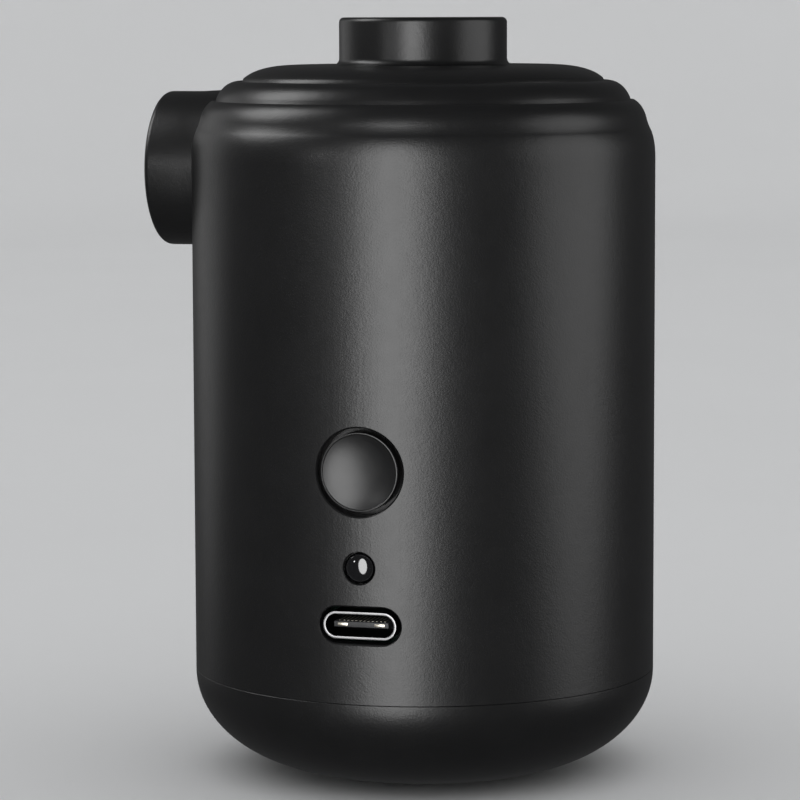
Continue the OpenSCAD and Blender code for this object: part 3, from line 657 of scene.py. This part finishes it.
def rubbery(name, colour, rough, cell_mm=0.0):
    """Matt rubber with a dusty bloom, or foam where cell_mm is given."""
    material, tree, shader = finish(name, colour, rough, IOR=1.45, Specular_IOR_Level=0.35)
    heights = [(noise(tree, 0.25, 3), 0.01)]
    if cell_mm:
        cells = tree.nodes.new("ShaderNodeTexVoronoi")
        cells.inputs["Scale"].default_value = 1 / (cell_mm * MM)
        tree.links.new(place(tree), cells.inputs["Vector"])
        heights.append((cells.outputs["Distance"], cell_mm * 0.4))
    bump(tree, shader, heights)
    vary_colour(tree, shader, noise(tree, 3, 5), tint(colour, 0.8), tint(colour, 1.35))
    return material


lens_finish = glossy("lens_smoked", (0.002, 0.002, 0.0024), 0.06, 2.5, 0.0005, 1.9)
wrap_finish = glossy("cell_wrap", (0.03, 0.12, 0.32), 0.3)
red_finish = glossy("insulation_red", (0.45, 0.02, 0.015), 0.35)
black_finish = glossy("insulation_black", (0.02, 0.02, 0.02), 0.35)
led_finish = glossy("led_resin", (0.8, 0.8, 0.68), 0.2, 0.5)
pad_finish = rubbery("pad_rubber", (0.022, 0.022, 0.022), 0.75)
seal_finish = rubbery("seal_rubber", (0.08, 0.08, 0.085), 0.6)
foam_finish = rubbery("foam", (0.06, 0.06, 0.062), 0.85, 0.35)
print("lens, rubbers and wraps mixed")

# %% [markdown]
# ### Metals and the board
#
# Turned and drawn metal carries fine marks that run round or along it, made by stretching the noise
# one way. Laminations are thin plates stacked along the shaft, and windings are round wires, so both
# are bands of a wave texture. The board has a solder mask with the ghost of its tracks.

# %% Mix the metals and the board
def metal(name, colour, rough, mark_mm=0.12, stretch=(1, 1, 0.05), depth_mm=0.002):
    """Metal with fine marks stretched one way, and faint tarnish."""
    material, tree, shader = finish(name, colour, rough, 1.0)
    marks = noise(tree, mark_mm, 3, stretch)
    bump(tree, shader, [(marks, depth_mm)])
    vary_gloss(tree, shader, marks, rough * 0.8, rough * 1.35)
    vary_colour(tree, shader, noise(tree, 4, 4), tint(colour, 0.86), tint(colour, 1.06))
    return material


def banded(name, colour, rough, pitch_mm, depth_mm, metallic, across="Z"):
    """Stacked plates or wound wire: bands of a wave across one axis."""
    material, tree, shader = finish(name, colour, rough, metallic)
    wave = tree.nodes.new("ShaderNodeTexWave")
    wave.bands_direction = across
    wave.inputs["Scale"].default_value = 0.314 / (pitch_mm * MM)
    tree.links.new(place(tree), wave.inputs["Vector"])
    bump(tree, shader, [(wave.outputs["Fac"], depth_mm)])
    vary_colour(tree, shader, wave.outputs["Fac"], tint(colour, 0.45), colour, 0, 0.6)
    return material


def board_mask():
    """Solder mask over copper tracks."""
    colour = (0.003, 0.014, 0.009)
    material, tree, shader = finish("board_mask", colour, 0.25, IOR=1.5)
    bricks = tree.nodes.new("ShaderNodeTexBrick")
    bricks.inputs["Scale"].default_value = 400
    bricks.inputs["Mortar Size"].default_value = 0.03
    tree.links.new(place(tree), bricks.inputs["Vector"])
    bump(tree, shader, [(bricks.outputs["Fac"], 0.03)])
    vary_colour(tree, shader, bricks.outputs["Fac"], colour, tint(colour, 1.9), 0, 1)
    return material


def socket_steel():
    """Bright steel rim, with painted shade inside: near black behind the front edge, where light is lost
    between the walls.
    """
    bright, painted_shade = (0.3, 0.3, 0.305), (0.012, 0.012, 0.013)
    material, tree, shader = finish("socket_steel", bright, 0.38, 1.0)
    marks = noise(tree, 0.1, 2)
    bump(tree, shader, [(marks, 0.001)])
    vary_gloss(tree, shader, marks, 0.34, 0.42)
    depth = tree.nodes.new("ShaderNodeSeparateXYZ")
    tree.links.new(place(tree), depth.inputs["Vector"])
    front = shell_front * MM
    # Painted shade: the colour fades from bright steel to near black just behind the shell's front edge.
    vary_colour(tree, shader, depth.outputs["Y"], bright, painted_shade, front + 0.03 * MM, front + 0.12 * MM)
    return material


screw_finish = metal("screw_zinc", (0.55, 0.55, 0.57), 0.32)
can_finish = metal("can_zinc", (0.5, 0.51, 0.53), 0.34, 0.1, (0.05, 0.05, 1))
shaft_finish = metal("shaft_steel", (0.6, 0.6, 0.62), 0.18, 0.05, (0.05, 0.05, 1))
brass_finish = metal("brass", (0.72, 0.52, 0.24), 0.3, 0.08, (0.05, 0.05, 1))
socket_finish = socket_steel()
nickel_finish = metal("nickel", (0.66, 0.65, 0.62), 0.2, 0.1, (0.2, 1, 0.2), 0.001)
gold_finish = metal("pale_gold", (0.8, 0.75, 0.64), 0.32, 0.1, (1, 1, 1), 0.001)
ferrite_finish = moulded("ferrite", (0.05, 0.05, 0.055), 0.6, 0.2, 0.02)
plate_finish = banded("laminations", (0.3, 0.3, 0.32), 0.4, 0.5, 0.04, 0.9)
copper_finish = banded("enamelled_copper", (0.72, 0.3, 0.13), 0.3, 0.35, 0.06, 0.85)
board_finish = board_mask()
print("metals and board mixed")

# %% [markdown]
# ## Put the pieces on the frame
#
# Each new piece replaces its engineering part, rides on the same body and names its material slot.
# Every other part keeps its exact mesh and only changes its finish.

# %% Fit the new pieces
NEW_PIECES = [
    (case, "case", "main_housing", "case_black", case_finish),
    (bottom, "case", "bottom_cover", "case_black", case_finish),
    (top, "case", "top_cover", "case_black", case_finish),
    (pad, "case", "foot_pad", "rubber_black", pad_finish),
    (guard, "case", "intake_grille", "grille_black", grille_finish),
    (lens, "case", "indicator_lens", "lens_smoked", lens_finish),
    (socket, "case", "socket_shell", "nickel", socket_finish),
    (tongue_piece, "case", "socket_tongue", "chip_black", chip_finish),
    (contact_piece, "case", "socket_contacts", "gold", gold_finish),
    (button, "button", "power_button", "button_black", button_finish),
]
for piece, body, node, slot_name, material in NEW_PIECES:
    piece.data.materials.clear()
    piece.data.materials.append(material)
    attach(piece, body)
    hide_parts(node)
print(len(NEW_PIECES), "pieces fitted")

# %% [markdown]
# The parts inside keep the exact meshes of the engineering model, since few of them show. Each takes
# the finish of its material slot, so parts of one stuff look alike.

# %% Finish the parts that stay
FINISHES = {
    "case_black": case_finish, "grille_black": grille_finish, "button_black": button_finish,
    "lens_smoked": lens_finish, "rubber_black": pad_finish, "seal_silicone": seal_finish,
    "foam_grey": foam_finish, "screw_steel": screw_finish, "fan_white": white_finish,
    "fan_ivory": ivory_finish, "brass": brass_finish, "motor_steel": can_finish,
    "shaft_steel": shaft_finish, "lamination": plate_finish, "copper": copper_finish,
    "ferrite": ferrite_finish, "frame_black": frame_finish, "cell_wrap": wrap_finish,
    "nickel": nickel_finish, "board_green": board_finish, "chip_black": chip_finish,
    "led_white": led_finish, "gold": gold_finish, "wire_red": red_finish, "wire_black": black_finish,
}
for subpart in frame["record"]["subparts"]:
    node = frame["nodes"][subpart["node"]]
    for material_slot in node.material_slots:
        material_slot.material = FINISHES[subpart["material_slot"]]
print(len(FINISHES), "finishes on", len(frame["nodes"]), "parts")

# %% [markdown]
# ## Studio
#
# The pump stands on a pale floor that curves up into a pale wall, so there is no horizon. Black
# plastic shows only what it reflects, so the lights are the drawing. A tall soft box a little left of
# the camera lays the long highlight on the case, and a larger one at the right lays the second,
# fainter band. Two more at the far left pick out the left edge and the steps of the shoulder, and a
# small one puts a glint on the lens. A pale room would wash black plastic grey, so the room is dim
# to glossy rays, as black cards round the product make it in a real studio, and the floor is left
# out of them. The boxes stand low and close, so they would burn out the floor beside them. They light
# only the pump, and the floor gets the room's even light.

# %% Build the floor and the lights
FLOOR_R, FLOOR_CURVE, WALL_OUT, WALL_TOP = 1600, 700, 500, 1500
FLOOR_DROP = 0.02
floor_outline = [(0, 0), (FLOOR_R, 0, FLOOR_CURVE), (FLOOR_R + WALL_OUT, WALL_TOP)]
floor_bm = turned_mesh(rounded(floor_outline, 12), 96, closed=False)
bmesh.ops.translate(floor_bm, verts=floor_bm.verts, vec=(0, 0, -FLOOR_DROP))
bmesh.ops.reverse_faces(floor_bm, faces=[face for face in floor_bm.faces if face.normal.z < 0])
floor = smooth(new_object("floor", floor_bm), 60)
floor_finish, floor_tree, floor_shader = finish("floor_paint", (0.8, 0.8, 0.8), 0.8)
vary_colour(floor_tree, floor_shader, noise(floor_tree, 120, 3), (0.795, 0.795, 0.79),
            (0.805, 0.805, 0.8))
floor.data.materials.append(floor_finish)
floor.visible_glossy = False
floor.visible_shadow = False

unlit = bpy.data.collections.new("not_lit_by_boxes")
unlit.objects.link(floor)
unlit.collection_objects[0].light_linking.link_state = "EXCLUDE"
VIEW_TURN = 15.6


def soft_box(name, turn, height, distance, size, watts, target_z=0.045):
    """An oval light at an angle from the camera's direction, turned counterclockwise from above."""
    around = math.radians(VIEW_TURN + turn)
    data = bpy.data.lights.new(name, "AREA")
    data.shape = "ELLIPSE"
    data.size, data.size_y = size
    data.energy = watts
    light = bpy.data.objects.new(name, data)
    bpy.context.scene.collection.objects.link(light)
    light.location = (distance * math.sin(around), -distance * math.cos(around), height)
    aim = Vector((0, 0, target_z)) - light.location
    light.rotation_mode = "QUATERNION"
    light.rotation_quaternion = aim.to_track_quat("-Z", "Y")
    light.visible_camera = False
    light.light_linking.receiver_collection = unlit
    return light


soft_box("key", -14.5, 0.055, 0.33, (0.185, 0.38), 1.0)
soft_box("glint", -48, 0.12, 0.33, (0.03, 0.03), 0.03)
soft_box("side", 77, 0.12, 0.4, (0.38, 0.42), 0.6)
soft_box("left_edge", -132, 0.14, 0.8, (0.5, 0.5), 0.3)
soft_box("left_top", -100, 0.55, 0.6, (0.45, 0.45), 2.4)

GLOW = 0.85
GLOW_IN_GLOSS = 0.075
world = bpy.data.worlds.new("studio")
bpy.context.scene.world = world
world.use_nodes = True
sky = world.node_tree
backdrop = sky.nodes["Background"]
backdrop.inputs["Color"].default_value = (0.97, 0.98, 1, 1)
rays = sky.nodes.new("ShaderNodeLightPath")
level = ramp(sky, rays.outputs["Is Glossy Ray"], 0, 1, GLOW, GLOW_IN_GLOSS)
sky.links.new(level, backdrop.inputs["Strength"])

# %% [markdown]
# ## Camera
#
# A long lens stands level with the collar's rim and looks a little down, so the collar's rim is
# nearly a line and the bottom a shallow curve.

# %% Place the camera
CAMERA_OUT = 431.0
CAMERA_DOWN = 6.25
CAMERA_LEFT = 0.395
CAMERA_ROLL = -0.19
LENS_MM = 157.3
SENSOR_MM = 36.0
turn = math.radians(VIEW_TURN)
camera_data = bpy.data.cameras.new("camera")
camera_data.lens = LENS_MM
camera_data.sensor_width = SENSOR_MM
camera_data.clip_start, camera_data.clip_end = 0.01, 20
camera = bpy.data.objects.new("camera", camera_data)
bpy.context.scene.collection.objects.link(camera)
camera.location = Vector((CAMERA_OUT * math.sin(turn), -CAMERA_OUT * math.cos(turn), RIM_Z)) * MM
camera.matrix_world = (
    Matrix.Translation(camera.location)
    @ Matrix.Rotation(turn + math.radians(CAMERA_LEFT), 4, "Z")
    @ Matrix.Rotation(math.radians(90 - CAMERA_DOWN), 4, "X")
    @ Matrix.Rotation(math.radians(CAMERA_ROLL), 4, "Z"))
bpy.context.scene.camera = camera
bpy.context.scene.view_settings.view_transform = "Standard"
print("camera", round(CAMERA_OUT), "mm from the axis, lens", LENS_MM, "mm")
